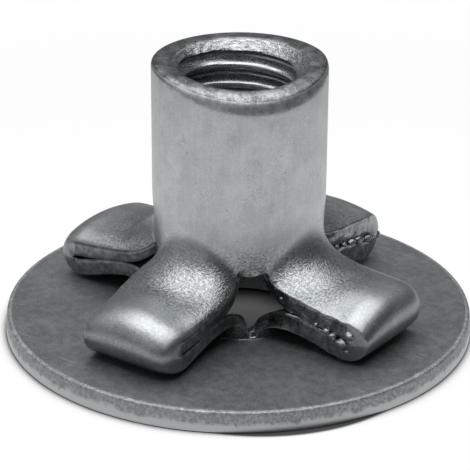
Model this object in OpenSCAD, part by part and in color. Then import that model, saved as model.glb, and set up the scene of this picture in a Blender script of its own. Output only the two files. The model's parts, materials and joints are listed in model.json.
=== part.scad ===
// Slotted rivet nut in its set form: the sleeve between flange and barrel has folded
// out into double-layer legs. It stands on its flange, with +Z along the thread.

/* [Flange] */
// Diameter of the flat head
flange_d = 30; // [25:0.5:34]
// Thickness of the flat head
flange_t = 1.35; // [1:0.05:2]
// Rounding of the flange's sheared rim
flange_round = 0.2; // [0.05:0.05:0.4]
// Drawn rounding where the underside turns up into the sleeve
throat_round = 0.7; // [0.2:0.1:0.9]

/* [Barrel] */
// Outside diameter of the threaded barrel
barrel_d = 11; // [10.4:0.1:12]
// Height of the set nut, from the flange's underside to the barrel's rim
set_h = 17.9; // [17:0.1:24]
// Rounding of the barrel's outer rim
rim_round = 0.8; // [0.3:0.05:0.9]
// Depth of the slight waist that setting pulls in above the slots
waist_depth = 0.2; // [0.05:0.05:0.3]
// Height of the waist's deepest ring above the slots' heads
waist_rise = 0.4; // [0:0.1:1]

/* [Tapped hole] */
// Diameter of the hole at the thread's crests
bore_d = 6.8; // [6.4:0.05:7.4]
// Length of the tapped hole, from the end of the chamfer
bore_len = 9; // [6:0.1:9.3]
// Diameter of the chamfered mouth
mouth_d = 8.4; // [7.8:0.1:9]

/* [Sleeve and slots] */
// Wall of the sleeve that the legs are folded from
sleeve_wall = 1.1; // [0.8:0.05:1.3]
// Width of a slot where it ends below the barrel
slot_head_w = 1.9; // [0.8:0.1:2.2]
// Width of a slot where it ends at the flange
slot_foot_w = 0.5; // [0.3:0.05:0.9]
// Height of the slot's head above the leg's side edge
slot_rise = 1.05; // [0.8:0.05:1.6]

/* [Legs] */
// Number of legs
leg_n = 4; // [3:1:4]
// Width of a leg
leg_w = 7; // [5.5:0.1:7.2]
// Distance from the axis to a leg's folded nose
leg_reach = 12.1; // [11.4:0.1:14]
// Clear height between the flange and a leg's nose
leg_clear = 0.4; // [0.2:0.05:1]
// Height of the folded nose
nose_h = 3.25; // [2.9:0.05:3.6]
// Rounding of the nose's corners, seen from above
nose_corner = 0.9; // [0.4:0.1:1.5]
// Rise of the leg's crowned top above its side edges
leg_crown = 0.4; // [0.2:0.05:0.6]
// Thickness of one pressed layer of a leg
layer_t = 1.25; // [1:0.05:1.4]
// Opening left between the two layers
fold_gap = 0.14; // [0.08:0.02:0.3]
// Bend radius where the lower layer leaves the sleeve
foot_bend = 1.1; // [0.7:0.1:1.3]
// Bend radius where the upper layer leaves the barrel
neck_bend = 2.5; // [2:0.1:3]

/* [Hidden] */
$fn = 96;
large_fn = 360;
steel = [0.62, 0.64, 0.65];

// Overshoot of a cut past the face that it opens
over = 1;
// Length by which the pieces of one leg run into each other
lap = 0.4;

barrel_r = barrel_d / 2;
bore_r = bore_d / 2;
mouth_r = mouth_d / 2;
sleeve_r = barrel_r - sleeve_wall;
flange_r = flange_d / 2;

// The chamfer runs at 45 degrees, and so does the cone that ends the tapped hole
chamfer_h = mouth_r - bore_r;
bore_bottom = set_h - chamfer_h - bore_len;
cone_bottom = bore_bottom - (sleeve_r - bore_r);

// Places along a leg: its nose, its crowned top, its side edge and the slot beside it
nose_r = nose_h / 2;
nose_u = leg_reach - nose_r;
nose_bottom = flange_t + leg_clear;
nose_mid = nose_bottom + nose_r;
leg_top = nose_bottom + nose_h;
leg_edge = leg_top - leg_crown;
crown_r = (pow(leg_w / 2, 2) + pow(leg_crown, 2)) / (2 * leg_crown);
slot_head = leg_edge + slot_rise;

// Bend centres of the two layers in the radial plane, as [radius, height]
foot_c = [barrel_r + foot_bend, flange_t];
neck_c = [barrel_r + neck_bend, leg_top + neck_bend];
crest = flange_t + foot_bend;

// The lower layer runs level past its bend before the straight strip takes over
root_land = 1;
root_r = foot_c[0] + root_land;

// Middle of the gap between the layers, from the sleeve's hollow to the nose
gap_in = [foot_c[0] - 1.5 * lap, crest + layer_t + 0.75 * fold_gap];
gap_out = [nose_u - lap, nose_mid - fold_gap];

// The waist is a shallow arc, half as high as this reach says
waist_reach = 2.1;
waist_z = slot_head + waist_rise;
waist_r = (pow(waist_reach, 2) + pow(waist_depth, 2)) / (2 * waist_depth);

// The shoulder is a skin from an arch on the barrel to the leg's crowned top
skin_rows = 10;
skin_cols = 14;
skin_power = 1.5;
skin_end = neck_c[0] + 1.5 * lap;
skin_floor = leg_edge - lap;
skin_dive = 0.03;
skin_sink = [0.22, 0.7];
arch_top = neck_c[1] + 0.25 * lap;

function skin_v(j) = leg_w * (j / skin_cols - 0.5);
function arch_z(v) = arch_top + (slot_head - arch_top) * pow(2 * v / leg_w, 2);
function crown_z(v) = leg_top - crown_r + sqrt(crown_r * crown_r - v * v);
function barrel_u(v) = sqrt(barrel_r * barrel_r - v * v);
function skin_fall(x) = 1 - pow(1 - pow(x, skin_power), 1 / skin_power);

// Row 0 lies inside the barrel's wall, and the last row just inside the leg
function skin_point(i, j) =
    let (v = skin_v(j), start = barrel_u(v), low = crown_z(v) - skin_dive)
    i == 0
        ? [start - skin_sink[0], v, arch_z(v) + skin_sink[1]]
        : let (x = cos(90 * (i - 1) / (skin_rows - 1)))
          [skin_end - x * (skin_end - start), v, low + (arch_z(v) - low) * skin_fall(x)];

// What a rounding takes off the outer corner at [r, z]
module rim_corner(r, z, round_r, low) {
    translate([r - round_r, z]) mirror([0, low ? 0 : 1]) difference() {
        translate([0, -over]) square([round_r + over, round_r + over]);
        translate([0, round_r]) circle(round_r);
    }
}

// Flange, sleeve wall and barrel, with their outer rims rounded
module body_section() {
    difference() {
        square([flange_r, flange_t]);
        for (low = [true, false])
            rim_corner(flange_r, low ? 0 : flange_t, flange_round, low);
    }
    difference() {
        square([barrel_r, set_h]);
        rim_corner(barrel_r, set_h, rim_round, false);
        translate([barrel_r - waist_depth + waist_r, waist_z]) circle(waist_r, $fn = large_fn);
    }
}

// The hollow: drawn throat, sleeve, cone, tapped hole and chamfered mouth
module hollow_section() {
    translate([0, -over]) square([sleeve_r, cone_bottom + over]);
    difference() {
        translate([0, -over]) square([sleeve_r + throat_round, throat_round + over]);
        translate([sleeve_r + throat_round, throat_round]) circle(throat_round);
    }
    polygon([[0, cone_bottom], [sleeve_r, cone_bottom], [bore_r, bore_bottom], [0, bore_bottom]]);
    translate([0, bore_bottom]) square([bore_r, set_h - bore_bottom + over]);
    polygon([[0, set_h - chamfer_h], [bore_r, set_h - chamfer_h],
             [mouth_r + over, set_h + over], [0, set_h + over]]);
}

// Roots of both layers, bent out of the sleeve all round
module root_section() {
    difference() {
        translate([sleeve_r, flange_t]) square([root_r - sleeve_r, leg_edge - flange_t]);
        translate(foot_c) circle(foot_bend);
        translate([foot_c[0], flange_t - over]) square([root_r, foot_bend + over]);
    }
}

// The hollow between the roots, which narrows to the gap between the layers
module root_hollow_section() {
    difference() {
        translate([0, flange_t]) square([foot_c[0] + lap, neck_c[1] - flange_t]);
        translate(foot_c) circle(foot_bend + layer_t);
        translate([foot_c[0], flange_t]) square([root_r, foot_bend + layer_t]);
        translate(neck_c) circle(neck_bend + layer_t);
    }
}

// Side view of the folded strip outside the roots
module strip_section() {
    strip_in = foot_c[0] - lap;
    translate([nose_u, nose_mid]) circle(nose_r);
    polygon([[strip_in, crest], [foot_c[0], crest], [nose_u, nose_bottom],
             [nose_u, leg_top], [strip_in, leg_top]]);
}

module gap_section() {
    half = [0, fold_gap / 2];
    polygon([gap_in - half, gap_out - half, gap_out + half, gap_in + half]);
    translate(gap_out) circle(fold_gap);
}

// Plan of a leg, with its nose's corners rounded
module leg_plan() {
    translate([0, -leg_w / 2]) square([leg_reach - nose_corner, leg_w]);
    translate([0, -leg_w / 2 + nose_corner]) square([leg_reach, leg_w - 2 * nose_corner]);
    for (side = [-1, 1])
        translate([leg_reach - nose_corner, side * (leg_w / 2 - nose_corner)]) circle(nose_corner);
}

// Draws a side view across a leg's width
module across(width) {
    rotate([90, 0, 0]) linear_extrude(width, center = true) children();
}

// The lofted bell mouth between the barrel and a leg's upper layer
module shoulder() {
    cols = skin_cols + 1;
    top = [for (i = [0 : skin_rows], j = [0 : skin_cols]) skin_point(i, j)];
    foot = [for (i = [0, skin_rows], j = [0 : skin_cols])
        let (p = skin_point(i, j)) [p[0], p[1], skin_floor]];
    back = len(top);
    front = back + cols;
    last = skin_rows * cols;
    skin_faces = [for (i = [0 : skin_rows - 1], j = [0 : skin_cols - 1])
        let (k = i * cols + j) each [[k, k + 1, k + cols], [k + 1, k + cols + 1, k + cols]]];
    end_faces = [for (j = [0 : skin_cols - 1]) each [
        [j + 1, j, back + j], [j + 1, back + j, back + j + 1],
        [last + j, last + j + 1, front + j], [last + j + 1, front + j + 1, front + j],
        [back + j + 1, back + j, front + j], [back + j + 1, front + j, front + j + 1]]];
    side_faces = [for (i = [0 : skin_rows - 1]) let (k = i * cols, n = k + skin_cols) each [
        [back, k, k + cols], [back + skin_cols, n + cols, n]]];
    corner_faces = [[back, last, front],
                    [back + skin_cols, front + skin_cols, last + skin_cols]];
    polyhedron(concat(top, foot), concat(skin_faces, end_faces, side_faces, corner_faces));
}

// One folded leg along +X: strip with its crowned top, roots and shoulder
module leg() {
    difference() {
        union() {
            intersection() {
                across(leg_w) strip_section();
                linear_extrude(leg_top) leg_plan();
                translate([0, 0, leg_top - crown_r]) rotate([0, 90, 0])
                    cylinder(r = crown_r, h = leg_reach, $fn = large_fn);
            }
            intersection() {
                rotate_extrude() root_section();
                translate([0, -leg_w / 2, 0]) cube([root_r, leg_w, leg_top]);
            }
            shoulder();
        }
        across(leg_w + over) gap_section();
    }
}

// A slot between two legs, wider at the barrel than at the flange
module slot() {
    rotate([90, 0, 90]) linear_extrude(root_r)
        polygon([[-slot_foot_w / 2, flange_t], [slot_foot_w / 2, flange_t],
                 [slot_head_w / 2, slot_head], [-slot_head_w / 2, slot_head]]);
}

// What the sleeve has lost beside the legs' straight sides
module sleeve_clearing() {
    difference() {
        translate([0, 0, flange_t]) cylinder(r = root_r, h = slot_head - flange_t);
        for (k = [0 : leg_n - 1])
            rotate(k * 360 / leg_n) translate([0, -leg_w / 2, 0]) cube([root_r, leg_w, set_h]);
    }
}

module rivet_nut() {
    color(steel) difference() {
        union() {
            difference() {
                rotate_extrude() body_section();
                sleeve_clearing();
            }
            for (k = [0 : leg_n - 1])
                rotate(k * 360 / leg_n) leg();
        }
        rotate_extrude() hollow_section();
        rotate_extrude() root_hollow_section();
        for (k = [0 : leg_n - 1])
            rotate((k + 0.5) * 360 / leg_n) slot();
    }
}

rivet_nut();
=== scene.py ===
import json
import math

import bmesh
import bpy
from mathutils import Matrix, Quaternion, Vector, noise


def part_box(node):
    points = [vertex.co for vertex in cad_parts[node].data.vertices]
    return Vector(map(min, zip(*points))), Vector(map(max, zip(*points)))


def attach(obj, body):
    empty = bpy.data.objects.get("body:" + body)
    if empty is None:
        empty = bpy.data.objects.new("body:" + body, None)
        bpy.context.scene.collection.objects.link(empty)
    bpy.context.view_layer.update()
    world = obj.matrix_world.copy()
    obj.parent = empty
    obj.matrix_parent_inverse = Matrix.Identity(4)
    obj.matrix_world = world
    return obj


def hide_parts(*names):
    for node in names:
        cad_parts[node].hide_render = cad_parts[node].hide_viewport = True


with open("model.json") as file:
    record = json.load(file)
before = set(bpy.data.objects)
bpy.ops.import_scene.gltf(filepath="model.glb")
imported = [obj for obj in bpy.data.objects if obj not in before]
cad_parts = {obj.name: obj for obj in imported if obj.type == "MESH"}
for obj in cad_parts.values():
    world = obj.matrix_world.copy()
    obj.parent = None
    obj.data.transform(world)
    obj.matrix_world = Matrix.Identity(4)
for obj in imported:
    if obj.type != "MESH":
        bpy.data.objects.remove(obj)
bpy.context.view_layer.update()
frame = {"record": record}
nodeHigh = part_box("rivet_nut")[1]
threadMount = next(m for m in frame["record"]["mounts"] if m["name"] == "thread")
mm = 0.001  # the nut is drawn in millimetres and scaled down when it is whole
tiny = 1e-4
print("frame loaded")


def clamp(x, low=0.0, high=1.0):
    return max(low, min(high, x))


def smooth(low, high, x):
    t = clamp((x - low) / (high - low))
    return t * t * (3 - 2 * t)


def mixed(a, b, t):
    return a + (b - a) * t


# the camera stands where the photograph was taken from
camera = {
    "turn": 35.5,  # degrees from the leg on -Y towards the leg on +X
    "rise": 23.98,
    "roll": 0.33,
    "distance": 135,
    "lens": 162.0,
    "sensor": 36,
    "clipStart": 0.01,
    "aim": (-0.246, 6.07),  # right of the axis, and up
}


def placeCamera(c):
    turn, rise = math.radians(c["turn"]), math.radians(c["rise"])
    right, up = c["aim"]
    aim = Vector((right * math.cos(turn), right * math.sin(turn), up))
    level = math.cos(rise)
    back = Vector((math.sin(turn) * level, -math.cos(turn) * level, math.sin(rise)))
    data = bpy.data.cameras.new("camera")
    data.lens = c["lens"]
    data.sensor_width = c["sensor"]
    data.clip_start = c["clipStart"]
    obj = bpy.data.objects.new("camera", data)
    bpy.context.scene.collection.objects.link(obj)
    obj.location = (aim + back * c["distance"]) * mm
    obj.rotation_mode = "QUATERNION"
    tilt = Quaternion((0, 0, 1), math.radians(c["roll"]))
    obj.rotation_quaternion = (-back).to_track_quat("-Z", "Y") @ tilt
    bpy.context.scene.camera = obj


placeCamera(camera)
print("camera placed")

# the nut before it is set: flange, straight sleeve and tapped barrel
spare = {"rim": 0.003, "top": 0.004}  # how far it stays inside its CAD box
nut = {
    "rimR": min(nodeHigh.x, nodeHigh.y) / mm - spare["rim"],
    "height": nodeHigh.z / mm - spare["top"],
    "flangeT": 1.35,
    "barrelR": 5.5,
    "sleeveR": 4.4,
    "throatRound": 0.7,
    "boreR": threadMount["dims"]["r_mm"],
    "boreEnd": threadMount["pos_m"][2] / mm,
    "mouthR": 4.2,
    "columns": 96,
    "slotColumns": 2,
    "slots": 4,
    "slotEdge": 0.22,  # rolled edge of a slot; the other edges are a share of it
    "crispShare": 0.4,
    "wallCuts": 3,
}
between = 360 / nut["slots"]  # degrees from leg to leg
halfBetween = between / 2
slotHalf = 180 * nut["slotColumns"] / nut["columns"]
wallMid = (nut["barrelR"] + nut["sleeveR"]) / 2
wallT = nut["barrelR"] - nut["sleeveR"]

# the sleeve's height is given in fold steps: foot bend, lower layer, nose, upper layer, shoulder
sleeve = {
    "foot": 1.5,
    "head": 6.9,  # where the straight barrel starts once the nut is set
    "stepH": 3.3,  # drawn height of one fold step
    "folds": 5,
    "steps": [0, 0.2, 0.4, 0.6, 0.8, 1, 1.12, 1.24, 1.36, 1.48, 1.6, 1.72, 1.84, 1.92, 2, 2.1, 2.2, 2.3, 2.4,
              2.5, 2.6, 2.7, 2.8, 2.9, 3, 3.14, 3.28, 3.42, 3.56, 3.7, 3.85, 4, 4.13, 4.26, 4.39, 4.52, 4.64,
              4.76, 4.88, 5],
}
sleeve["top"] = sleeve["foot"] + sleeve["folds"] * sleeve["stepH"]
sleeve["lift"] = sleeve["top"] - sleeve["head"]  # how far setting pulls the barrel down

# the barrel's end: pairs are radius and depth below the top, where it is whole and where it is worn most
endWear = {
    "whole": [(5.5, 1.3), (5.5, 0.84), (5.5, 0.4), (5.5, 0.26), (5.48, 0.15), (5.43, 0.07), (5.35, 0.02),
              (5.24, 0), (5.0, 0), (4.7, 0.01), (4.4, 0.0), (4.2, 0.08)],
    "worn": [(5.5, 2.3), (5.5, 1.8), (5.5, 1.64), (5.43, 1.42), (5.33, 1.14), (5.2, 0.92), (5.06, 0.79),
             (4.92, 0.72), (4.84, 0.61), (4.6, 0.55), (4.38, 0.47), (4.22, 0.52)],
    "near": 0.01,  # how close to a whole point a ring has to lie to be moved to the worn one
    "wornTurn": -38,
    "wornSpan": 98,
    "drop": 0.44,  # how far the mouth sinks where it is worn most
    "dropReach": 3,
}

thread = {
    "pitch": 1.25,
    "depth": 0.66,
    "ringsPerTurn": 7,
    "firstRing": 0.2,  # below the top
    "lastRing": 0.4,  # share of a ring left free above the cone
    "start": 0.35,  # share of a turn
    "flank": (0.05, 0.92),
    "mouthDrop": 0.08,
    "mouthSkin": 0.03,  # what is left uncut below the mouth and inside its edge
    "mouthEdge": 0.01,
    "mouthSlope": 1.0,
    "runOut": 0.8,  # how far the groove reaches below the bore's end
    "chip": 0.06,
    "chipSize": 0.3,
    "chipFrom": 1.6,  # below the mouth, and where the chips are full
    "chipFull": 0.6,
}

# the other rings of the outline
outline = {
    "underR": (6, 7.5, 9.5, 11.5, 13.3, 14.3),
    "rimRound": 0.08,
    "rimSide": [(0, 0.3), (0.005, 0.56), (0.03, 0.64), (0.05, 0.9), (0.07, 1.18), (0.1, 1.28), (0.17, 1.335)],
    "rimTop": 0.3,  # where the face starts, in from the rim as the first of each pair above
    "faceR": (14.2, 13.2, 12, 10.8, 9.6, 8.4, 7.4, 6.6, 6, 5.66),
    "fillet": [(0.03, 0.02), (0, 0.06)],  # out from the barrel, and above the face
    "barrelZ": (7.3, 7.8, 8.4, 9, 10, 11.2, 12.4, 13.6, 14.8),
    "cone": (0, 0.25, 0.5, 0.75, 0.97),
    "throatZ": 1.15,
}


def arcPoints(centre, radius, first, last, count):
    turns = [math.radians(mixed(first, last, i / count)) for i in range(count + 1)]
    return [(centre[0] + radius * math.cos(a), centre[1] + radius * math.sin(a)) for a in turns]


def boreRings():
    rings = []
    z, step = nut["height"] - thread["firstRing"], thread["pitch"] / thread["ringsPerTurn"]
    while z > nut["boreEnd"] + thread["lastRing"] * step:
        rings.append((max(nut["boreR"], nut["mouthR"] - (nut["height"] - z)), z + sleeve["lift"]))
        z -= step
    return rings


def nutOutline():
    lift, rim, t = sleeve["lift"], nut["rimR"], nut["flangeT"]
    r, s, corner, bend = nut["barrelR"], nut["sleeveR"], outline["rimRound"], nut["throatRound"]
    under = [(x, 0) for x in outline["underR"]]
    rimSide = arcPoints((rim - corner, corner), corner, -80, 0, 3)
    rimSide += [(rim - x, z) for x, z in outline["rimSide"]] + [(rim - outline["rimTop"], t)]
    face = [(x, t) for x in outline["faceR"]] + [(r + x, t + z) for x, z in outline["fillet"]]
    outerWall = [(r, sleeve["foot"] + p * sleeve["stepH"]) for p in sleeve["steps"]]
    barrel = [(r, z + lift) for z in outline["barrelZ"]]
    barrelEnd = [(x, nut["height"] - below + lift) for x, below in endWear["whole"]]
    cone = [(nut["boreR"] + d, nut["boreEnd"] - d + lift) for d in outline["cone"]]
    innerWall = [(s, z) for x, z in reversed(outerWall)] + [(s, outline["throatZ"])]
    throat = arcPoints((s + bend, bend), bend, 180, 270, 5)
    return under + rimSide + face + outerWall + barrel + barrelEnd + boreRings() + cone + innerWall + throat


def aroundAxis(point):
    return math.hypot(point.x, point.y), math.degrees(math.atan2(point.y, point.x))


def turnedAway(turn, middle):
    return abs((turn - middle + 180) % 360 - 180)


def wornShare(turn):
    away = turnedAway(turn, endWear["wornTurn"])
    return math.cos(math.radians(90 * min(away / endWear["wornSpan"], 1))) ** 2


def fromSlot(turn):
    return turn % between - halfBetween  # degrees from the middle of the nearest slot


def inSleeve(point, margin=0.2):
    r = math.hypot(point.x, point.y)
    inWall = nut["sleeveR"] - margin < r < nut["barrelR"] + margin
    return inWall and sleeve["foot"] < point.z < sleeve["top"]


def selectOnly(mesh, parts, test):
    bpy.ops.mesh.select_all(action="DESELECT")
    for part in parts:
        part.select_set(test(part))
    mesh.select_flush_mode()
    bmesh.update_edit_mesh(bpy.context.object.data)


def turnOutline(points):
    bpy.ops.object.select_all(action="DESELECT")
    bpy.ops.mesh.primitive_plane_add(size=1)
    obj = bpy.context.object
    obj.name = obj.data.name = "rivetNut"
    bpy.ops.object.mode_set(mode="EDIT")
    bpy.ops.mesh.select_all(action="SELECT")
    bpy.ops.mesh.merge(type="CENTER")
    bpy.ops.transform.translate(value=(points[0][0], 0, points[0][1]))
    for a, b in zip(points, points[1:]):
        bpy.ops.mesh.extrude_vertices_move(TRANSFORM_OT_translate={"value": (b[0] - a[0], 0, b[1] - a[1])})
    mesh = bmesh.from_edit_mesh(obj.data)
    bpy.ops.mesh.select_mode(type="VERT")
    ends = [Vector((x, 0, z)) for x, z in (points[0], points[-1])]
    selectOnly(mesh, mesh.verts, lambda v: min((v.co - e).length for e in ends) < tiny)
    bpy.ops.mesh.edge_face_add()
    bpy.ops.mesh.select_all(action="SELECT")
    bpy.ops.mesh.spin(steps=nut["columns"], angle=2 * math.pi, center=(0, 0, 0), axis=(0, 0, 1))
    bpy.ops.mesh.select_all(action="SELECT")
    bpy.ops.mesh.remove_doubles(threshold=0.002)
    bpy.ops.mesh.normals_make_consistent(inside=False)
    return obj


# the finishes in the order in which they are laid on, and how far they reach on the straight nut
finish = {"drawn": 0, "flange": 1, "rim": 2, "rolled": 3, "tapped": 4, "torn": 5, "end": 6, "worn": 7}
border = {
    "faceLift": 0.03,
    "barrelOut": 0.02,
    "throatZ": 0.6,
    "rimIn": 0.26,
    "rimLow": 0.03,
    "rimHigh": 0.005,  # below the flange's face
    "sleeveSkin": 0.1,
    "boreLift": 0.1,
    "mouthOut": 0.02,
    "endDepth": 0.06,
    "wornDepth": 0.38,
    "wornShare": 0.12,
    "wallSkin": 0.05,
    "slotSlack": 0.1,  # degrees
}


def finishAt(r, turn, z):
    kind = "drawn"
    if z < nut["flangeT"] + border["faceLift"] and r > nut["barrelR"] + border["barrelOut"] or z < border["throatZ"]:
        kind = "flange"
    if r > nut["rimR"] - border["rimIn"] and border["rimLow"] < z < nut["flangeT"] - border["rimHigh"]:
        kind = "rim"
    if abs(r - nut["sleeveR"]) < border["sleeveSkin"] and sleeve["foot"] < z < sleeve["top"]:
        kind = "rolled"
    below = nut["height"] + sleeve["lift"] - z
    if z > sleeve["top"] + border["boreLift"] and r < nut["mouthR"] + border["mouthOut"]:
        kind = "tapped"
    elif below < border["endDepth"]:
        kind = "end"
    elif below < border["wornDepth"] and wornShare(turn) > border["wornShare"]:
        kind = "worn"
    return finish[kind]


def onSlotWall(r, turn, z):
    inHeight = sleeve["foot"] - 10 * tiny < z < sleeve["top"] + 10 * tiny
    inWall = abs(r - wallMid) < wallT / 2 - border["wallSkin"]
    return inHeight and inWall and abs(fromSlot(turn)) < slotHalf + border["slotSlack"]


def cutSlots(obj):
    mesh = bmesh.from_edit_mesh(obj.data)
    for face in mesh.faces:
        centre = face.calc_center_median()
        face.material_index = finishAt(*aroundAxis(centre), centre.z)
    bpy.ops.mesh.select_mode(type="FACE")
    for k in range(nut["slots"]):
        middle = (k + 0.5) * between

        def inSlot(face):
            centre = face.calc_center_median()
            return turnedAway(aroundAxis(centre)[1], middle) < slotHalf and inSleeve(centre)

        selectOnly(mesh, mesh.faces, inSlot)
        bpy.ops.mesh.delete(type="FACE")
        mesh = bmesh.from_edit_mesh(obj.data)
        bpy.ops.mesh.select_mode(type="EDGE")
        selectOnly(mesh, mesh.edges, lambda e: e.is_boundary)
        bpy.ops.mesh.bridge_edge_loops(number_cuts=nut["wallCuts"])
        mesh = bmesh.from_edit_mesh(obj.data)
        bpy.ops.mesh.select_mode(type="FACE")
    for face in mesh.faces:
        centre = face.calc_center_median()
        r, turn = aroundAxis(centre)
        if onSlotWall(r, turn, centre.z):
            face.material_index = finish["rolled" if fromSlot(turn) < -border["slotSlack"] else "torn"]
    bpy.ops.object.mode_set(mode="OBJECT")


slotWalls = {finish["rolled"], finish["torn"]}


def rollEdges(obj):
    # one wall of each slot is rolled over, and the other is torn and stays crisp
    touching = {}
    for face in obj.data.polygons:
        for key in face.edge_keys:
            touching.setdefault(key, []).append(face.material_index)
    weights = obj.data.attributes.new("bevel_weight_edge", "FLOAT", "EDGE")
    for edge, weight in zip(obj.data.edges, weights.data):
        kinds = touching[edge.key]
        if len({k in slotWalls for k in kinds}) == 2:
            outside = math.hypot(*obj.data.vertices[edge.vertices[0]].co.xy) > wallMid
            weight.value = 1 if outside and finish["rolled"] in kinds else nut["crispShare"]
    bpy.ops.object.modifier_add(type="BEVEL")
    bevel = obj.modifiers[-1]
    bevel.width = nut["slotEdge"]
    bevel.segments = 2
    bevel.limit_method = "WEIGHT"
    bevel.use_clamp_overlap = False
    bpy.ops.object.modifier_apply(modifier=bevel.name)


rivetNut = turnOutline(nutOutline())
cutSlots(rivetNut)
rollEdges(rivetNut)
print("straight nut turned and slotted", len(rivetNut.data.vertices))

# how the sleeve folds: the first six pairs are at a leg's centre line and at its side edge
fold = {
    "crestU": (6.6, 5.95),
    "crestZ": (2.45, 2.47),
    "noseR": (1.64, 1.40),
    "tip": (12.1, 11.9),
    "shoulderZ": (5.17, 4.7),
    "archZ": (8.3, 5.7),
    "sideMost": 1.1,  # how far the change to the side edge runs on past it
    "noseLow": 1.74,
    "noseFrom": -102,
    "noseTo": 87.4,
    "shoulderU": 8.3,
    "shoulderFall": 0.075,  # slope of a leg's top at the shoulder
    "bellOut": 0.3,  # how long the bell mouth stays flat at the shoulder and straight at the barrel
    "bellUp": 0.27,
    "legHalf": 3.5,
    "slotFoot": 2.3,  # half the slot's angle at the foot and at the head
    "slotHead": 9.9,
    "footSkin": 0.3,  # what lies deeper below the sleeve's skin belongs to the throat
    "footSpread": 7.5,  # radius on the flange where the columns are even again
    "throatZ": 0.6,  # height in the throat where they are even again
    "straightZ": 9,  # height on the barrel where they are even again
    "waist": 0.2,
    "waistZ": 6.1,
    "waistReach": 2.1,
    "wall": [(0, 1.05), (1, 1.17), (1.5, 1.25), (2, 1.32), (2.5, 1.42), (3, 1.32), (3.5, 1.25), (4, 1.17),
             (4.6, 1.02), (5, 1.1)],  # fold step and thickness
    "thickFrom": (0.6, 1.4),  # fold steps between which a thicker leg's layers grow, and shrink again
    "thickTo": (4.6, 4),
    "foldGap": 0.05,
    "noseSteps": (1.9, 3.1),
    "nose": 2.5,
    "split": 0.45,  # how much further the gap runs into the nose at the torn side
    "splitReach": 0.22,
    "splitPower": 6,
    "rolledSplit": 0.15,  # share of the split at the rolled side
    "noseBulge": 0.26,
    "nosePinch": 0.2,
    "nosePower": 0.7,
    "noseSkin": 0.48,  # fold steps to each side of the nose where a leg's end is smooth
    "leaves": 0.8,  # fold steps where a strip has left the sleeve, and where it starts to return
    "returns": 4.35,
    "rollFrom": 0.68,  # share of the half width where the rolled edge starts
    "rollSpan": 0.36,
    "waistFrom": 4.4,  # fold step where the waist starts on the sleeve
    "sideFrom": (6, 10),  # distance from the axis over which a leg's own differences come in, and height
    "sideZ": (2.4, 4.4),
    "tangentStep": 0.004,  # fold steps to each side, for a leg's direction
    "rootFrom": 4.2,  # fold steps of the skin that is smoothed, on the legs and between them
    "webFrom": 5.03,
    "rootTo": 5.6,
    "rootShare": 0.97,
    "rootSkin": 0.02,
    "smoothing": 12,
    "rolledTear": 0.25,  # share of the tearing that shows on rolled edges
}

# each leg came out a little different when the nut was set: its nose lies further out (reach) or higher (lift),
# it is thicker (rise), its torn side is drawn in (narrow) or hangs (tilt), its rolled side hangs (lean) and
# is rolled over (roll)
legs = [
    {"reach": -0.03, "lift": -0.2, "rise": 0.2, "narrow": 0.15, "tilt": 0.42, "lean": 0.0, "roll": 0.36},  # +X
    {"reach": -0.2, "lift": -0.1, "rise": 0.36, "narrow": 0.0, "tilt": 0.0, "lean": 0.1, "roll": 0.36},  # +Y
    {"reach": 0.35, "lift": -0.33, "rise": 0.22, "narrow": 0.0, "tilt": 0.0, "lean": 0.1, "roll": 0.5},  # -X
    {"reach": 0.34, "lift": -0.3, "rise": 0.3, "narrow": 0.4, "tilt": 0.3, "lean": 0.36, "roll": 0.7},  # -Y
]


def eased(a, b, leave, arrive, t):
    fromA, goA = 2 * t**3 - 3 * t**2 + 1, t**3 - 2 * t**2 + t
    toB, goB = 3 * t**2 - 2 * t**3, t**3 - t**2
    pull = (b - a).length
    return a * fromA + leave * pull * goA + b * toB + arrive * pull * goB


def onBezier(points, t):
    while len(points) > 1:
        points = [a.lerp(b, t) for a, b in zip(points, points[1:])]
    return points[0]


def legLine(p, lam, leg):
    # outside of a leg at fold step p; lam runs from -1 at its torn side to 1 at its rolled side
    c = min(lam * lam, fold["sideMost"])
    footU = nut["barrelR"] * math.cos(math.radians(lam * (halfBetween - fold["slotFoot"])))
    headU = nut["barrelR"] * math.cos(math.radians(lam * (halfBetween - fold["slotHead"])))
    crest = Vector((mixed(*fold["crestU"], c), mixed(*fold["crestZ"], c)))
    noseR = mixed(*fold["noseR"], c) + leg["rise"] / 2
    middle = Vector((mixed(*fold["tip"], c) + leg["reach"] - noseR, fold["noseLow"] + leg["lift"] + noseR))
    shoulder = Vector((fold["shoulderU"], mixed(*fold["shoulderZ"], c) + leg["lift"] + leg["rise"]))
    head = Vector((headU, mixed(*fold["archZ"], c)))

    def onNose(t):
        a = math.radians(mixed(fold["noseFrom"], fold["noseTo"], t))
        return middle + noseR * Vector((math.cos(a), math.sin(a))), Vector((-math.sin(a), math.cos(a)))

    if p < 1:
        a = math.radians(90 * p)
        return Vector((mixed(footU, crest.x, 1 - math.cos(a)), mixed(sleeve["foot"], crest.y, math.sin(a))))
    if p < 2:
        end, arrive = onNose(0)
        return eased(crest, end, Vector((1, 0)), arrive, p - 1)
    if p < 3:
        return onNose(p - 2)[0]
    if p < 4:
        start, leave = onNose(1)
        return eased(start, shoulder, leave, Vector((-1, fold["shoulderFall"])), p - 3)
    out = fold["bellOut"] * (shoulder.x - head.x) * Vector((1, -fold["shoulderFall"]))
    up = Vector((0, fold["bellUp"] * (head.y - shoulder.y)))
    bell = (shoulder, shoulder - out, shoulder - 2 * out, head - 2 * up, head - up, head)
    return onBezier(bell, min(p - 4, 1))


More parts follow.
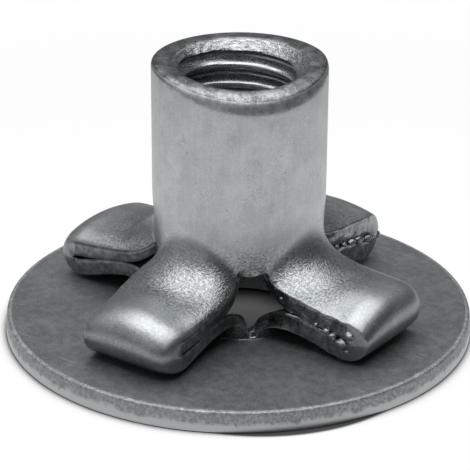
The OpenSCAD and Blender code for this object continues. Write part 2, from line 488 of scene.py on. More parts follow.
def wallAt(p, lam, leg):
    for (p0, t0), (p1, t1) in zip(fold["wall"], fold["wall"][1:]):
        if p <= p1:
            wall = mixed(t0, t1, (p - p0) / (p1 - p0))
            break
    extra = leg["rise"] / 2
    wall += extra * smooth(*fold["thickFrom"], p) * smooth(*fold["thickTo"], p)
    first, last = fold["noseSteps"]
    if first < p < last:
        wall = min(wall, mixed(*fold["noseR"], min(lam * lam, 1)) + extra - fold["foldGap"])
        split = fold["split"] * lam ** fold["splitPower"] * smooth(fold["splitReach"], 0, abs(p - fold["nose"]))
        wall -= split * (fold["rolledSplit"] if lam > 0 else 1)
    return wall


def waistAt(z):
    return fold["waist"] * clamp(1 - ((z - fold["waistZ"]) / fold["waistReach"]) ** 2) ** 2


def columnAngle(away, edge):
    # slides a column round the axis, so that the slot's edge comes to lie at the angle edge
    if away <= slotHalf:
        spread = away * edge / slotHalf
    else:
        spread = edge + (away - slotHalf) * (halfBetween - edge) / (halfBetween - slotHalf)
    return math.radians(halfBetween - spread)


def footPoint(r, z, away, side):
    if r > nut["barrelR"] - fold["footSkin"]:
        fade = 1 - smooth(nut["barrelR"], fold["footSpread"], r)
    else:
        fade = smooth(fold["throatZ"], sleeve["foot"], z)
    angle = columnAngle(away, mixed(slotHalf, fold["slotFoot"], fade))
    return r * math.cos(angle), side * r * math.sin(angle), z


def legPoint(r, z, away, side, lam, leg):
    last, step = sleeve["folds"], fold["tangentStep"]
    p = clamp((z - sleeve["foot"]) / sleeve["stepH"], 0, last)
    depth = clamp((nut["barrelR"] - r) / wallT)
    outer = legLine(p, lam, leg)
    along = (legLine(min(p + step, last), lam, leg) - legLine(max(p - step, 0), lam, leg)).normalized()
    inward = Vector((-along.y, along.x))
    free = min(smooth(0, fold["leaves"], p), smooth(last, fold["returns"], p))  # how far the strip has left the sleeve
    angle = columnAngle(away, mixed(fold["slotFoot"], fold["slotHead"], p / last))
    atNose = math.sin(math.pi * clamp(p - 2)) ** fold["nosePower"]
    legV = (fold["legHalf"] + atNose * mixed(-fold["nosePinch"], fold["noseBulge"], depth)) * lam
    overEdge = clamp((lam - fold["rollFrom"]) / fold["rollSpan"])
    rolled = leg["roll"] * (1 - math.sqrt(1 - overEdge**2)) * free
    sunk = inward * mixed(rolled, wallAt(p, lam, leg), depth)
    waist = waistAt(outer.y) * lam * lam * smooth(fold["waistFrom"], last, p)
    sleeveSunk = depth * wallT + waist * (1 - depth)
    headSunk = depth * max(0, outer.y - sleeve["head"]) * (p > fold["nose"])
    u = outer.x + mixed(-sleeveSunk * math.cos(angle), sunk.x, free)
    v = mixed(side * (nut["barrelR"] - sleeveSunk) * math.sin(angle), legV, free)
    z = outer.y + mixed(-headSunk, sunk.y, free)
    tornSide = smooth(*fold["sideFrom"], u) * clamp(-lam) ** 2
    rolledSide = smooth(*fold["sideFrom"], u) * clamp(lam) ** 2
    v += leg["narrow"] * tornSide
    z -= (leg["tilt"] * tornSide + leg["lean"] * rolledSide) * smooth(*fold["sideZ"], z)
    return u, v, z


def wearEnd(r, z, worn):
    below = nut["height"] - z
    for whole, gone in zip(endWear["whole"], endWear["worn"]):
        if math.hypot(r - whole[0], below - whole[1]) < endWear["near"]:
            return mixed(whole[0], gone[0], worn), nut["height"] - mixed(whole[1], gone[1], worn)
    if r < nut["mouthR"]:
        z -= endWear["drop"] * worn * smooth(endWear["dropReach"], 0, below)
    return r, z


def barrelPoint(r, z, away, side, lam, turn):
    setZ = z - sleeve["lift"]
    rising = clamp((setZ - sleeve["head"]) / (fold["straightZ"] - sleeve["head"]))
    angle = columnAngle(away, mixed(fold["slotHead"], slotHalf, smooth(0, 1, rising)))
    arch = mixed(*fold["archZ"], min(lam * lam, 1))
    if r < wallMid:
        arch = min(arch, sleeve["head"])
    r, z = wearEnd(r, mixed(arch, setZ, rising), wornShare(turn))
    if r > wallMid:
        r -= waistAt(z) * mixed(min(lam * lam, 1), 1, smooth(0, 1, rising))
    return r * math.cos(angle), side * r * math.sin(angle), z


def setPoint(point):
    r, turn = aroundAxis(point)
    legTurn = round(turn / between) * between
    leg = legs[round(turn / between) % nut["slots"]]
    across = turn - legTurn
    side = 1 if across >= 0 else -1
    away = halfBetween - abs(across)
    lam = across / (halfBetween - slotHalf)
    if point.z < sleeve["foot"] - tiny:
        u, v, z = footPoint(r, point.z, away, side)
    elif point.z < sleeve["top"] + tiny:
        u, v, z = legPoint(r, point.z, away, side, lam, leg)
    else:
        u, v, z = barrelPoint(r, point.z, away, side, lam, turn)
    yaw = math.radians(legTurn)
    return Vector((u * math.cos(yaw) - v * math.sin(yaw), u * math.sin(yaw) + v * math.cos(yaw), z))


def foldStep(z):
    return (z - sleeve["foot"]) / sleeve["stepH"]


def inRoot(point):
    # the skin where a leg leaves the barrel, and the web between two legs
    r, turn = aroundAxis(point)
    p = foldStep(point.z)
    onLeg = halfBetween - abs(fromSlot(turn)) < fold["rootShare"] * (halfBetween - slotHalf)
    started = onLeg and p > fold["rootFrom"] or p > fold["webFrom"]
    return started and p < fold["rootTo"] and r > nut["barrelR"] - fold["rootSkin"]


def setNut(obj):
    roots = {v.index for v in obj.data.vertices if inRoot(v.co)}
    for face in obj.data.polygons:
        if face.material_index in slotWalls and abs(foldStep(face.center.z) - fold["nose"]) < fold["noseSkin"]:
            face.material_index = finish["drawn"]
    torn = obj.data.attributes.new("torn", "FLOAT", "POINT")
    shares = {finish["torn"]: 1, finish["rolled"]: fold["rolledTear"]}
    for face in obj.data.polygons:
        if face.material_index in slotWalls:
            for index in face.vertices:
                torn.data[index].value = max(torn.data[index].value, shares[face.material_index])
    for vertex in obj.data.vertices:
        vertex.co = setPoint(vertex.co)
    obj.data.update()
    bpy.ops.object.mode_set(mode="EDIT")
    bpy.ops.mesh.select_mode(type="VERT")
    mesh = bmesh.from_edit_mesh(obj.data)
    selectOnly(mesh, mesh.verts, lambda v: v.index in roots)
    bpy.ops.mesh.vertices_smooth(factor=0.5, repeat=fold["smoothing"])
    bpy.ops.object.mode_set(mode="OBJECT")


setNut(rivetNut)
print("sleeve folded into legs")


def roundOff(obj):
    bpy.ops.object.select_all(action="DESELECT")
    obj.select_set(True)
    bpy.context.view_layer.objects.active = obj
    bpy.ops.object.modifier_add(type="SUBSURF")
    subsurf = obj.modifiers[-1]
    subsurf.levels = subsurf.render_levels = 1
    bpy.ops.object.modifier_apply(modifier=subsurf.name)


# torn slot edges are wavy, and crumbs of steel hang on to them
tear = {
    "wave": 0.07,
    "waveSize": 0.6,
    "fine": 0.025,
    "fineSize": 0.2,
    "least": 0.02,
    "crumbLumps": 0.3,
    "crumbLumpSize": 0.9,  # share of the crumb's size
    "crumbSpread": 3,  # keeps the lumps of two crumbs apart
    "crumbStretch": (1.3, 1, 0.9),  # along the leg, across it and up
    "crumbs": [  # leg, distance from the axis, height, distance from the leg's middle, size
        (0, 4.95, 5.42, 3.2, 0.13), (0, 5.2, 5.05, 3.25, 0.15), (0, 5.65, 4.5, 3.35, 0.12),
        (0, 6.4, 3.8, 3.4, 0.1), (0, 7.4, 3.6, 3.4, 0.11), (0, 8.25, 3.5, 3.45, 0.13),
        (0, 9.0, 3.3, 3.45, 0.22), (0, 9.45, 3.05, 3.45, 0.26), (0, 10.1, 2.75, 3.4, 0.34),
        (0, 10.6, 3.35, 3.35, 0.3), (0, 10.45, 2.25, 3.35, 0.2), (0, 9.75, 2.5, 3.4, 0.15),
        (1, 6.2, 3.9, 3.4, 0.2), (1, 7.1, 3.75, 3.45, 0.2), (1, 7.95, 3.65, 3.45, 0.28),
        (1, 8.85, 3.45, 3.45, 0.34), (1, 10.0, 3.15, 3.4, 0.3), (1, 11.3, 2.95, 3.3, 0.3),
        (1, 9.5, 2.6, 3.4, 0.16),
        (2, 7.7, 3.6, 3.45, 0.17), (2, 8.9, 3.3, 3.45, 0.27), (2, 10.2, 2.9, 3.4, 0.33),
        (2, 10.8, 3.5, 3.35, 0.22),
        (3, 8.2, 3.6, 3.1, 0.18), (3, 9.5, 3.2, 3.05, 0.3), (3, 10.5, 2.8, 3.0, 0.32),
        (3, 11.0, 3.4, 3.0, 0.2),
    ],
}


def tearEdges(obj):
    marks = [m.value for m in obj.data.attributes["torn"].data]
    moves = []
    for vertex, mark in zip(obj.data.vertices, marks):
        if mark > tear["least"]:
            push = tear["wave"] * noise.noise(vertex.co / tear["waveSize"])
            push += tear["fine"] * noise.noise(vertex.co / tear["fineSize"])
            moves.append((vertex.index, vertex.normal * push * mark))
    for index, move in moves:
        obj.data.vertices[index].co += move
    obj.data.update()


def hangCrumbs(obj):
    along, across, up = tear["crumbStretch"]
    crumbs = []
    for leg, u, z, v, size in tear["crumbs"]:
        yaw = math.radians(between * leg)
        place = Vector((u * math.cos(yaw) + v * math.sin(yaw), u * math.sin(yaw) - v * math.cos(yaw), z))
        bpy.ops.object.select_all(action="DESELECT")
        bpy.ops.mesh.primitive_ico_sphere_add(subdivisions=3, radius=size)
        crumb = bpy.context.object
        crumb.data.materials.append(obj.data.materials[finish["drawn"]])
        for vertex in crumb.data.vertices:
            where = vertex.co / (tear["crumbLumpSize"] * size) + tear["crumbSpread"] * place
            vertex.co *= 1 + tear["crumbLumps"] * noise.noise(where)
        stretch = (along, across, up) if leg % 2 == 0 else (across, along, up)
        bpy.ops.object.mode_set(mode="EDIT")
        bpy.ops.mesh.select_all(action="SELECT")
        bpy.ops.transform.resize(value=stretch, center_override=(0, 0, 0))
        bpy.ops.transform.translate(value=place)
        bpy.ops.object.mode_set(mode="OBJECT")
        crumbs.append(crumb)
    bpy.ops.object.select_all(action="DESELECT")
    for crumb in crumbs:
        crumb.select_set(True)
    obj.select_set(True)
    bpy.context.view_layer.objects.active = obj
    bpy.ops.object.join()


def cutThread(obj):
    for vertex in obj.data.vertices:
        r, turn = aroundAxis(vertex.co)
        z = vertex.co.z
        top = nut["height"] - thread["mouthDrop"] - endWear["drop"] * wornShare(turn)
        inBore = nut["boreEnd"] - thread["runOut"] < z < top - thread["mouthSkin"]
        if r > nut["mouthR"] - thread["mouthEdge"] or not inBore:
            continue
        share = (z / thread["pitch"] - turn / 360 + thread["start"]) % 1
        groove = nut["boreR"] + thread["depth"] * (1 - smooth(*thread["flank"], 2 * abs(share - 0.5)))
        chip = thread["chip"] * noise.noise(vertex.co / thread["chipSize"])
        chip *= smooth(top - thread["chipFrom"], top - thread["chipFull"], z)
        chamfer = nut["mouthR"] - (top - z) * thread["mouthSlope"] + chip
        cone = nut["boreR"] + nut["boreEnd"] - z
        newR = max(nut["boreR"], groove, chamfer, cone)
        vertex.co.x *= newR / r
        vertex.co.y *= newR / r
    obj.data.update()


roundOff(rivetNut)
tearEdges(rivetNut)
cutThread(rivetNut)
print("thread cut and edges torn")


def addNode(tree, kind, sockets=None, **settings):
    made = tree.nodes.new("ShaderNode" + kind)
    for name, value in settings.items():
        setattr(made, name, value)
    for name, value in (sockets or {}).items():
        if isinstance(value, bpy.types.NodeSocket):
            tree.links.new(value, made.inputs[name])
        else:
            made.inputs[name].default_value = value
    return made


def newFinish(name):
    mat = bpy.data.materials.new(name)
    mat.use_nodes = True
    return mat, mat.node_tree, mat.node_tree.nodes["Principled BSDF"]


def inMillimetres(tree):
    coords = addNode(tree, "TexCoord").outputs["Object"]
    return addNode(tree, "Mapping", {"Vector": coords, "Scale": (1 / mm, 1 / mm, 1 / mm)}).outputs[0]


def grain(tree, place, size, detail=2, roughness=0.5, stretch=None, turn=0):
    if stretch:
        turned = {"Vector": place, "Scale": stretch, "Rotation": (0, 0, math.radians(turn))}
        place = addNode(tree, "Mapping", turned).outputs[0]
    sockets = {"Vector": place, "Scale": 1 / size, "Detail": detail, "Roughness": roughness}
    return addNode(tree, "TexNoise", sockets).outputs["Fac"]


def ranged(tree, value, low, high, first=0, last=1):
    sockets = {"Value": value, "From Min": low, "From Max": high, "To Min": first, "To Max": last}
    return addNode(tree, "MapRange", sockets, interpolation_type="SMOOTHSTEP").outputs["Result"]


def sums(tree, operation, *values):
    return addNode(tree, "Math", dict(enumerate(values)), operation=operation).outputs[0]


def vectors(tree, operation, *values):
    return addNode(tree, "VectorMath", dict(enumerate(values)), operation=operation).outputs


def scaled(tree, colour, share):
    return addNode(tree, "VectorMath", {0: colour, "Scale": share}, operation="SCALE").outputs[0]


def blend(tree, share, a, b):
    return addNode(tree, "Mix", {0: share, 6: a, 7: b}, data_type="RGBA").outputs[2]


def heightOf(tree, place):
    return addNode(tree, "SeparateXYZ", {"Vector": place}).outputs["Z"]


def outFromAxis(tree, place):
    flat = vectors(tree, "MULTIPLY", place, (1, 1, 0))[0]
    return vectors(tree, "LENGTH", flat)["Value"]


def roundAxis(tree, place, perTurn, perOut):
    # places by angle and distance from the axis, for marks that run round it or outwards
    split = addNode(tree, "SeparateXYZ", {"Vector": place}).outputs
    turn = sums(tree, "MULTIPLY", sums(tree, "ARCTAN2", split["Y"], split["X"]), perTurn)
    out = sums(tree, "MULTIPLY", outFromAxis(tree, place), perOut)
    return addNode(tree, "CombineXYZ", {"X": turn, "Y": out}).outputs[0]


def uneven(tree, value, middle, spread):
    # a value that strays by a grain, to both sides of its middle
    return sums(tree, "MULTIPLY_ADD", value, spread, middle - spread / 2)


def finishShader(tree, shader, colour, rough, heights, metal=1.0):
    shader.inputs["Metallic"].default_value = metal
    tree.links.new(colour, shader.inputs["Base Color"])
    tree.links.new(rough, shader.inputs["Roughness"])
    normal = None
    for height, depth in heights:
        bump = addNode(tree, "Bump", {"Height": height, "Distance": depth * mm, "Strength": 1})
        if normal is not None:
            tree.links.new(normal, bump.inputs["Normal"])
        normal = bump.outputs["Normal"]
    tree.links.new(normal, shader.inputs["Normal"])


# barrel and legs: satin drawn steel, with a pebbled skin where the bends stretched it, whose pebbles are coloured
# light and dark as painted glints
drawn = {
    "dark": (0.41, 0.432, 0.437, 1),
    "pale": (0.575, 0.6, 0.605, 1),
    "dirt": (0.06, 0.062, 0.065, 1),
    # painted shade: the legs are coloured darker than the barrel's steel
    "legShade": (0.79, 0.79, 0.79, 1),
    "barrelRough": 0.42,
    "rootRough": 0.36,
    "noseRough": 0.4,
    "roughSpread": 0.12,
    # painted shade: the roots, where the legs bend out of the barrel, are coloured darker
    "rootTone": 0.825,
    "rootOut": (8, 10.5),  # distance from the axis where the roots end
    "noseTone": 0.54,  # painted shade: how dark the noses are coloured near the flange
    "noseZ": (2.2, 4.9),
    "skinZ": (5.6, 8.6),  # height where the stretched skin shows in full, and where it ends
    "streaks": {"size": 1, "detail": 4, "roughness": 0.6, "stretch": (3.5, 3.5, 0.25)},
    "streakShare": 0.28,
    "streakDepth": 0.003,
    "blotches": {"size": 1.7, "detail": 5, "roughness": 0.6},
    "grit": {"size": 0.09},
    "gritShare": 0.7,
    "gritDepth": 0.003,
    "tones": (0.69, 1.29),
    "pits": {"size": 0.13},  # small and dark, in loose patches
    "pitCut": (0.64, 0.72),
    "pitPatches": {"size": 1.6, "detail": 3},
    "pitPatchCut": (0.46, 0.62),
    "pitShare": 0.55,
    "pitDepth": -0.006,
    "smears": {"size": 0.9, "detail": 5, "roughness": 0.65, "stretch": (1, 1, 0.6)},
    "smearCut": (0.58, 0.76),
    "smearShare": 0.22,
    "pebbles": {"size": 0.15, "roughness": 0.6},
    "pebbleCut": (0.34, 0.66),
    "pebbleTones": (0.69, 1.29),  # painted glints: how dark and how bright single pebbles are coloured
    "pebbleDepth": 0.035,
    "legPebbles": 0.3,  # share of the pebbles that shows away from the roots
}


def drawnSteel():
    mat, tree, shader = newFinish("drawnSteel")
    place = inMillimetres(tree)
    height, out = heightOf(tree, place), outFromAxis(tree, place)
    skin = ranged(tree, height, *drawn["skinZ"], 1, 0)
    streaks = grain(tree, place, **drawn["streaks"])
    blotches = grain(tree, place, **drawn["blotches"])
    grit = grain(tree, place, **drawn["grit"])
    pebbles = grain(tree, place, **drawn["pebbles"])
    pits = ranged(tree, grain(tree, place, **drawn["pits"]), *drawn["pitCut"])
    patches = ranged(tree, grain(tree, place, **drawn["pitPatches"]), *drawn["pitPatchCut"])
    pits = sums(tree, "MULTIPLY", pits, patches)
    tone = sums(tree, "MULTIPLY_ADD", streaks, drawn["streakShare"], blotches)
    tone = sums(tree, "MULTIPLY_ADD", grit, drawn["gritShare"], tone)
    colour = blend(tree, ranged(tree, tone, *drawn["tones"]), drawn["dark"], drawn["pale"])
    smears = ranged(tree, grain(tree, place, **drawn["smears"]), *drawn["smearCut"])
    dirt = sums(tree, "MULTIPLY", pits, drawn["pitShare"])
    dirt = sums(tree, "MULTIPLY_ADD", smears, drawn["smearShare"], dirt)
    colour = blend(tree, dirt, colour, drawn["dirt"])
    # painted shade: the drawn steel is coloured darker towards the flange, on the noses most of all
    colour = scaled(tree, colour, ranged(tree, height, *drawn["noseZ"], drawn["noseTone"], 1))
    # painted shade: the legs, below the barrel, are coloured darker
    shade = blend(tree, skin, (1, 1, 1, 1), drawn["legShade"])
    colour = vectors(tree, "MULTIPLY", colour, shade)[0]
    pebbleShare = sums(tree, "MULTIPLY", skin, ranged(tree, out, *drawn["rootOut"], 1, drawn["legPebbles"]))
    # painted glints: single pebbles are coloured lighter and darker
    paintedGlint = sums(tree, "ADD", ranged(tree, pebbles, *drawn["pebbleCut"], *drawn["pebbleTones"]), -1)
    colour = scaled(tree, colour, sums(tree, "MULTIPLY_ADD", paintedGlint, pebbleShare, 1))
    atRoot = sums(tree, "MULTIPLY", skin, ranged(tree, out, *drawn["rootOut"], 1, 0))
    # painted shade: the roots are coloured darker
    colour = scaled(tree, colour, ranged(tree, atRoot, 0, 1, 1, drawn["rootTone"]))
    rough = ranged(tree, skin, 0, 1, drawn["barrelRough"], drawn["noseRough"])
    rough = sums(tree, "MULTIPLY_ADD", atRoot, drawn["rootRough"] - drawn["noseRough"], rough)
    rough = sums(tree, "ADD", rough, uneven(tree, blotches, 0, drawn["roughSpread"]))
    pebbled = sums(tree, "MULTIPLY", sums(tree, "ADD", pebbles, -0.5), pebbleShare)
    finishShader(tree, shader, colour, rough, [
        (streaks, drawn["streakDepth"]), (pebbled, drawn["pebbleDepth"]),
        (grit, drawn["gritDepth"]), (pits, drawn["pitDepth"])])
    return mat


# flange faces: darker matte sheet with mill scale and fine scratches
sheet = {
    "dark": (0.116, 0.126, 0.129, 1),
    "pale": (0.236, 0.251, 0.256, 1),
    "scratch": (0.5, 0.52, 0.53, 1),
    "rough": 0.48,
    "roughSpread": 0.16,
    "metal": 0.65,  # the rest is dull scale
    "clouds": {"size": 2.6, "detail": 6, "roughness": 0.65},
    "cloudShare": 0.5,
    "cloudDepth": 0.006,
    "mottle": {"size": 0.5, "detail": 4, "roughness": 0.6},
    "mottleShare": 0.6,
    "mottleDepth": 0.004,
    "grit": {"size": 0.09, "roughness": 0.6},
    "gritShare": 0.9,
    "gritDepth": 0.004,
    "tones": (0.72, 1.28),
    "scratches": {"size": 1, "stretch": (0.35, 12, 1), "turn": 25},
    "scratchCut": (0.7, 0.76),
    "crossed": {"size": 1, "stretch": (0.3, 14, 1), "turn": -48},
    "crossedCut": (0.71, 0.77),
    "scratchShare": 0.6,
}


def flangeSteel():
    mat, tree, shader = newFinish("flangeSteel")
    place = inMillimetres(tree)
    clouds = grain(tree, place, **sheet["clouds"])
    mottle = grain(tree, place, **sheet["mottle"])
    grit = grain(tree, place, **sheet["grit"])
    scratches = ranged(tree, grain(tree, place, **sheet["scratches"]), *sheet["scratchCut"])
    crossed = ranged(tree, grain(tree, place, **sheet["crossed"]), *sheet["crossedCut"])
    marks = sums(tree, "MAXIMUM", scratches, crossed)
    tone = sums(tree, "MULTIPLY", clouds, sheet["cloudShare"])
    tone = sums(tree, "MULTIPLY_ADD", mottle, sheet["mottleShare"], tone)
    tone = sums(tree, "MULTIPLY_ADD", grit, sheet["gritShare"], tone)
    colour = blend(tree, ranged(tree, tone, *sheet["tones"]), sheet["dark"], sheet["pale"])
    colour = blend(tree, sums(tree, "MULTIPLY", marks, sheet["scratchShare"]), colour, sheet["scratch"])
    rough = uneven(tree, mottle, sheet["rough"], sheet["roughSpread"])
    finishShader(tree, shader, colour, rough, [
        (clouds, sheet["cloudDepth"]), (mottle, sheet["mottleDepth"]), (grit, sheet["gritDepth"])], sheet["metal"])
    return mat


# the sheared rim: a smooth burnished band below, torn dull metal above, and a painted highlight in patches along the
# corner
shear = {
    "burnished": (0.40, 0.415, 0.42, 1),
    "torn": (0.25, 0.266, 0.27, 1),
    "tornPale": (0.38, 0.398, 0.403, 1),
    # painted highlight: the pale colour laid on the corner in patches
    "rubbed": (0.5, 0.517, 0.522, 1),
    "line": 0.60,  # height where the tear starts, how far that strays, and how soft it is
    "stray": 0.9,
    "soft": 0.16,
    "straying": {"size": 0.5, "detail": 4, "roughness": 0.6, "stretch": (1, 1, 0.4)},
    "flakes": {"size": 0.2, "detail": 3, "roughness": 0.6},
    "flakeCut": (0.35, 0.68),
    "corner": (1.16, 1.26),
    "patches": {"size": 0.9, "detail": 5, "roughness": 0.7},
    "patchCut": (0.5, 0.68),
    "rubs": {"size": 1, "detail": 3, "stretch": (7, 7, 0.6)},
    "rough": (0.38, 0.58),  # of the burnished band and of the tear
    "tearDepth": -0.03,
    "flakeDepth": 0.05,
    "rubDepth": 0.006,
}


def shearedRim():
    mat, tree, shader = newFinish("shearedRim")
    place = inMillimetres(tree)
    height = heightOf(tree, place)
    level = sums(tree, "MULTIPLY_ADD", grain(tree, place, **shear["straying"]), shear["stray"], height)
    line = shear["line"] + shear["stray"] / 2
    tornShare = ranged(tree, level, line - shear["soft"], line + shear["soft"])
    flakes = grain(tree, place, **shear["flakes"])
    tornTone = blend(tree, ranged(tree, flakes, *shear["flakeCut"]), shear["torn"], shear["tornPale"])
    colour = blend(tree, tornShare, shear["burnished"], tornTone)
    patches = ranged(tree, grain(tree, place, **shear["patches"]), *shear["patchCut"])
    # painted highlight: the corner is coloured pale in patches
    rubbed = sums(tree, "MULTIPLY", ranged(tree, height, *shear["corner"]), patches)
    colour = blend(tree, rubbed, colour, shear["rubbed"])
    rough = ranged(tree, tornShare, 0, 1, *shear["rough"])
    tornFlakes = sums(tree, "MULTIPLY", flakes, tornShare)
    finishShader(tree, shader, colour, rough, [
        (tornShare, shear["tearDepth"]), (tornFlakes, shear["flakeDepth"]),
        (grain(tree, place, **shear["rubs"]), shear["rubDepth"])])
    return mat


# bare edges: the two walls of the slots, and the worn edge of the barrel's end
edges = {
    "lumps": {"size": 0.45, "detail": 4, "roughness": 0.55},
    "flakes": {"size": 0.11, "roughness": 0.6},
    "flakeShare": 0.35,
    "tones": (0.48, 0.87),
    "roughSpread": 0.2,
    "footZ": (2.3, 3.1),  # painted light: the slot walls are coloured brighter at the foot bends
    "footOut": (7, 8),
    "footGain": 2,
    "rolledEdge": {
        "dark": (0.13, 0.136, 0.139, 1), "pale": (0.27, 0.281, 0.286, 1),
        "rough": 0.34, "lumpDepth": 0.02, "flakeDepth": 0.008},
    "tornEdge": {
        "dark": (0.13, 0.137, 0.139, 1), "pale": (0.3, 0.314, 0.319, 1),
        "rough": 0.26, "lumpDepth": 0.03, "flakeDepth": 0.008},
    "wornEdge": {
        "dark": (0.42, 0.438, 0.443, 1), "pale": (0.7, 0.72, 0.725, 1),
        "rough": 0.43, "lumpDepth": 0.012, "flakeDepth": 0.005},
}


def edgeSteel(name):
    kind = edges[name]
    mat, tree, shader = newFinish(name)
    place = inMillimetres(tree)
    lumps = grain(tree, place, **edges["lumps"])
    flakes = grain(tree, place, **edges["flakes"])
    tone = sums(tree, "MULTIPLY_ADD", flakes, edges["flakeShare"], lumps)
    colour = blend(tree, ranged(tree, tone, *edges["tones"]), kind["dark"], kind["pale"])
    low = ranged(tree, heightOf(tree, place), *edges["footZ"], 1, 0)
    atFoot = sums(tree, "MULTIPLY", low, ranged(tree, outFromAxis(tree, place), *edges["footOut"], 1, 0))
    # painted light: the walls are coloured brighter at the foot bends
    colour = scaled(tree, colour, ranged(tree, atFoot, 0, 1, 1, edges["footGain"]))
    rough = uneven(tree, flakes, kind["rough"], edges["roughSpread"])
    finishShader(tree, shader, colour, rough, [(lumps, kind["lumpDepth"]), (flakes, kind["flakeDepth"])])
    return mat


# the tapped hole: bright flanks, chipped at the chamfer
tapped = {
    "dark": (0.31, 0.324, 0.328, 1),
    "pale": (0.5, 0.519, 0.524, 1),
    "tones": (0.45, 0.85),
    "chipDark": (0.2, 0.21, 0.214, 1),
    "chipPale": (0.58, 0.598, 0.603, 1),
    "chipTones": (0.48, 0.98),
    "mouth": (1.5, 0.6),  # below the top, where the chips start to show and where they show in full
    "rings": {"size": 1, "detail": 3, "roughness": 0.6, "stretch": (1.2, 1.2, 12)},
    "ringDepth": 0.006,
    "chips": {"size": 0.1, "detail": 3, "roughness": 0.6},
    "chipShare": 0.3,
    "mouthChipShare": 0.45,
    "chipDepth": 0.05,
    "boreChips": 0.1,  # share of the chips' depth away from the mouth
    "turned": {"size": 1, "detail": 3, "roughness": 0.6},
    "turnedGrid": (9, 10),
    "rough": (0.23, 0.33),
    "roughCut": (0.3, 0.7),
}


def tappedSteel():
    mat, tree, shader = newFinish("tappedSteel")
    place = inMillimetres(tree)
    atMouth = ranged(tree, heightOf(tree, place), *(nut["height"] - below for below in tapped["mouth"]))
    rings = grain(tree, place, **tapped["rings"])
    chips = grain(tree, place, **tapped["chips"])
    tone = sums(tree, "MULTIPLY_ADD", chips, tapped["chipShare"], rings)
    colour = blend(tree, ranged(tree, tone, *tapped["tones"]), tapped["dark"], tapped["pale"])
    turned = grain(tree, roundAxis(tree, place, *tapped["turnedGrid"]), **tapped["turned"])
    marks = sums(tree, "MULTIPLY_ADD", chips, tapped["mouthChipShare"], turned)
    chipTone = blend(tree, ranged(tree, marks, *tapped["chipTones"]), tapped["chipDark"], tapped["chipPale"])
    colour = blend(tree, atMouth, colour, chipTone)
    rough = ranged(tree, chips, *tapped["roughCut"], *tapped["rough"])
    chipped = sums(tree, "MULTIPLY_ADD", atMouth, 1 - tapped["boreChips"], tapped["boreChips"])
    chipped = sums(tree, "MULTIPLY", chips, chipped)
    finishShader(tree, shader, colour, rough, [(rings, tapped["ringDepth"]), (chipped, tapped["chipDepth"])])
    return mat


# the barrel's end face: cut and handled, with marks that run outwards
endFace = {
    "dark": (0.1, 0.106, 0.109, 1),
    "pale": (0.36, 0.375, 0.38, 1),
    "tones": (0.85, 1.4),
    "rough": 0.34,
    "roughSpread": 0.2,
    "cuts": {"size": 1, "detail": 4, "roughness": 0.65},
    "cutGrid": (26, 1.2),
    "cutShare": 0.4,
    "cutDepth": 0.012,
    "blotches": {"size": 0.8, "detail": 4, "roughness": 0.6},
    "dents": {"size": 0.12, "detail": 3, "roughness": 0.6},
    "dentShare": 0.8,
    "dentDepth": 0.02,
}


def endSteel():
    mat, tree, shader = newFinish("endSteel")
    place = inMillimetres(tree)
    cuts = grain(tree, roundAxis(tree, place, *endFace["cutGrid"]), **endFace["cuts"])
    blotches = grain(tree, place, **endFace["blotches"])
    dents = grain(tree, place, **endFace["dents"])
    tone = sums(tree, "MULTIPLY_ADD", dents, endFace["dentShare"], blotches)
    tone = sums(tree, "MULTIPLY_ADD", cuts, endFace["cutShare"], tone)
    colour = blend(tree, ranged(tree, tone, *endFace["tones"]), endFace["dark"], endFace["pale"])
    rough = uneven(tree, blotches, endFace["rough"], endFace["roughSpread"])
    finishShader(tree, shader, colour, rough, [(cuts, endFace["cutDepth"]), (dents, endFace["dentDepth"])])
    return mat


finishes = {
    "drawn": drawnSteel(),
    "flange": flangeSteel(),
    "rim": shearedRim(),
    "rolled": edgeSteel("rolledEdge"),
    "tapped": tappedSteel(),
    "torn": edgeSteel("tornEdge"),
    "end": endSteel(),
    "worn": edgeSteel("wornEdge"),
}
for kind in sorted(finish, key=finish.get):
    rivetNut.data.materials.append(finishes[kind])
hangCrumbs(rivetNut)
print("finishes laid on", sum(len(f.vertices) - 2 for f in rivetNut.data.polygons), "triangles")

bpy.ops.object.shade_smooth_by_angle(angle=math.radians(40))
bpy.ops.object.mode_set(mode="EDIT")
bpy.ops.mesh.select_all(action="SELECT")
bpy.ops.transform.resize(value=(mm, mm, mm), center_override=(0, 0, 0))
bpy.ops.object.mode_set(mode="OBJECT")

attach(rivetNut, "root")
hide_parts("rivet_nut")
print("nut finished")

studio = {
    "floorSize": 4.0,
    "floorRough": 0.9,
    "paleFloor": (0.9, 0.9, 0.9, 1),
    "farFloor": (0.1, 0.1, 0.1, 1),  # what the metal sees of the floor beyond the pale sheet
    "sheet": (0.032, 0.12),  # where the sheet starts and ends to fade, from its middle
    "sheetShift": 0.025,  # towards the camera
    "glow": 0.92,  # share of plain white in the sheet
    "contactReach": 0.006,
    "contact": (0.46, 0.76),  # openness to the sky where the contact shadow is full, and where it ends
    "underRim": (0.0146, 0.0152),  # where the painted shadow under the flange ends
    "castMiddle": (0.00394, -0.00324, 0),  # a painted shadow, which shows as a sliver at the front
    "castEnd": (0.01025, 0.01055),
    "underNut": (0.085, 0.022),  # painted shade in the throat: share of the white that shows there, at its back and at its front
    "throat": (-0.003, 0.004),
    "boxSize": 0.6,
    "boxHeight": 0.44,
    "boxShift": (-0.02, 0.03),  # towards the back
    "boxPower": 3.0,
    "frontAir": (0.06, 0.062, 0.064, 1),
    "backAir": (0.23, 0.2325, 0.235, 1),
    "wallSide": (0, 0.85),  # cosines between which the pale wall behind comes in
    "wallTop": (0.4, 0.66),  # where it ends, as the sine of its elevation
    "cardAir": (0.55, 0.556, 0.562, 1),
    "cardTurn": 228,  # degrees from +X to the middle of the fill card
    "cardSide": (0.2, 0.75),
    "cardFoot": (0.12, 0.3),
}


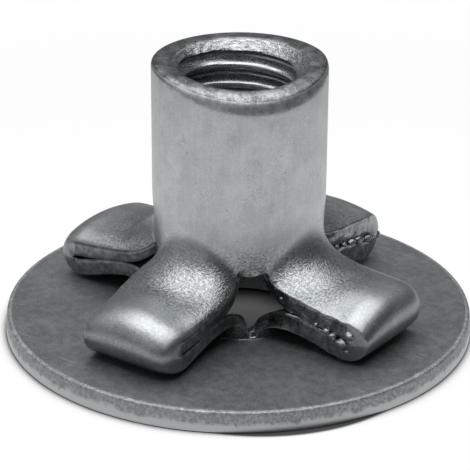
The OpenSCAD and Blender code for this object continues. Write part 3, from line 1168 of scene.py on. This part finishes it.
def paleFloor():
    mat, tree, shader = newFinish("paleFloor")
    turn = math.radians(camera["turn"])
    ahead = Vector((math.sin(turn), -math.cos(turn), 0))  # from the nut towards the camera
    place = addNode(tree, "TexCoord").outputs["Object"]
    fromSheet = vectors(tree, "DISTANCE", place, ahead * studio["sheetShift"])["Value"]
    near = ranged(tree, fromSheet, *studio["sheet"], 1, 0)
    tree.links.new(blend(tree, near, studio["farFloor"], studio["paleFloor"]), shader.inputs["Base Color"])
    shader.inputs["Roughness"].default_value = studio["floorRough"]
    shader.inputs["Specular IOR Level"].default_value = 0
    rays = addNode(tree, "LightPath").outputs
    looked = sums(tree, "MAXIMUM", rays["Is Camera Ray"], rays["Is Transmission Ray"])
    looked = sums(tree, "MULTIPLY", looked, ranged(tree, near, 0, 1, 1, studio["glow"]))
    mirrored = sums(tree, "MULTIPLY", rays["Is Glossy Ray"], sums(tree, "MULTIPLY", near, studio["glow"]))
    contact = addNode(tree, "AmbientOcclusion", {"Distance": studio["contactReach"]}).outputs["AO"]
    clear = sums(tree, "MAXIMUM", ranged(tree, contact, *studio["contact"]), rays["Is Glossy Ray"])
    # painted shadows on the floor, by place: under the flange, a sliver at its front, and in the throat
    underRim = ranged(tree, vectors(tree, "LENGTH", place)["Value"], *studio["underRim"])
    paintedSliver = ranged(tree, vectors(tree, "DISTANCE", place, studio["castMiddle"])["Value"], *studio["castEnd"])
    # painted shade: the floor in the throat is made dark by its place
    inThroat = vectors(tree, "DOT_PRODUCT", place, ahead)["Value"]
    inThroat = ranged(tree, inThroat, *studio["throat"], *studio["underNut"])
    outsidePaintedShade = sums(tree, "MAXIMUM", inThroat, sums(tree, "MINIMUM", underRim, paintedSliver))
    white = addNode(tree, "Emission", {"Strength": sums(tree, "MULTIPLY", clear, outsidePaintedShade)})
    share = sums(tree, "MAXIMUM", looked, mirrored)
    both = addNode(tree, "MixShader", {0: share, 1: shader.outputs[0], 2: white.outputs[0]})
    tree.links.new(both.outputs[0], tree.nodes["Material Output"].inputs["Surface"])
    return mat


def studioAir():
    # a pale wall far behind the nut, a fill card at the left, and a dark room on the camera's side
    world = bpy.data.worlds.new("studioAir")
    world.use_nodes = True
    tree = world.node_tree
    towards = addNode(tree, "TexCoord").outputs["Generated"]
    height = heightOf(tree, towards)
    turn, cardTurn = math.radians(camera["turn"]), math.radians(studio["cardTurn"])
    behind = vectors(tree, "DOT_PRODUCT", towards, (-math.sin(turn), math.cos(turn), 0))["Value"]
    aside = vectors(tree, "DOT_PRODUCT", towards, (math.cos(cardTurn), math.sin(cardTurn), 0))["Value"]
    lowWall = ranged(tree, height, *studio["wallTop"], 1, 0)
    wall = sums(tree, "MULTIPLY", ranged(tree, behind, *studio["wallSide"]), lowWall)
    highCard = ranged(tree, height, *studio["cardFoot"])
    card = sums(tree, "MULTIPLY", ranged(tree, aside, *studio["cardSide"]), highCard)
    air = blend(tree, wall, studio["frontAir"], studio["backAir"])
    air = blend(tree, card, air, studio["cardAir"])
    tree.links.new(air, tree.nodes["Background"].inputs["Color"])
    bpy.context.scene.world = world


def setStudio():
    bpy.ops.object.select_all(action="DESELECT")
    bpy.ops.mesh.primitive_plane_add(size=studio["floorSize"])
    floor = bpy.context.object
    floor.name = "floor"
    floor.data.materials.append(paleFloor())
    data = bpy.data.lights.new("overheadBox", "AREA")
    data.shape = "SQUARE"
    data.size = studio["boxSize"]
    data.energy = studio["boxPower"]
    lamp = bpy.data.objects.new("overheadBox", data)
    bpy.context.scene.collection.objects.link(lamp)
    lamp.location = (*studio["boxShift"], studio["boxHeight"])
    studioAir()


setStudio()
bpy.context.scene.view_settings.view_transform = "Standard"
print("studio set")
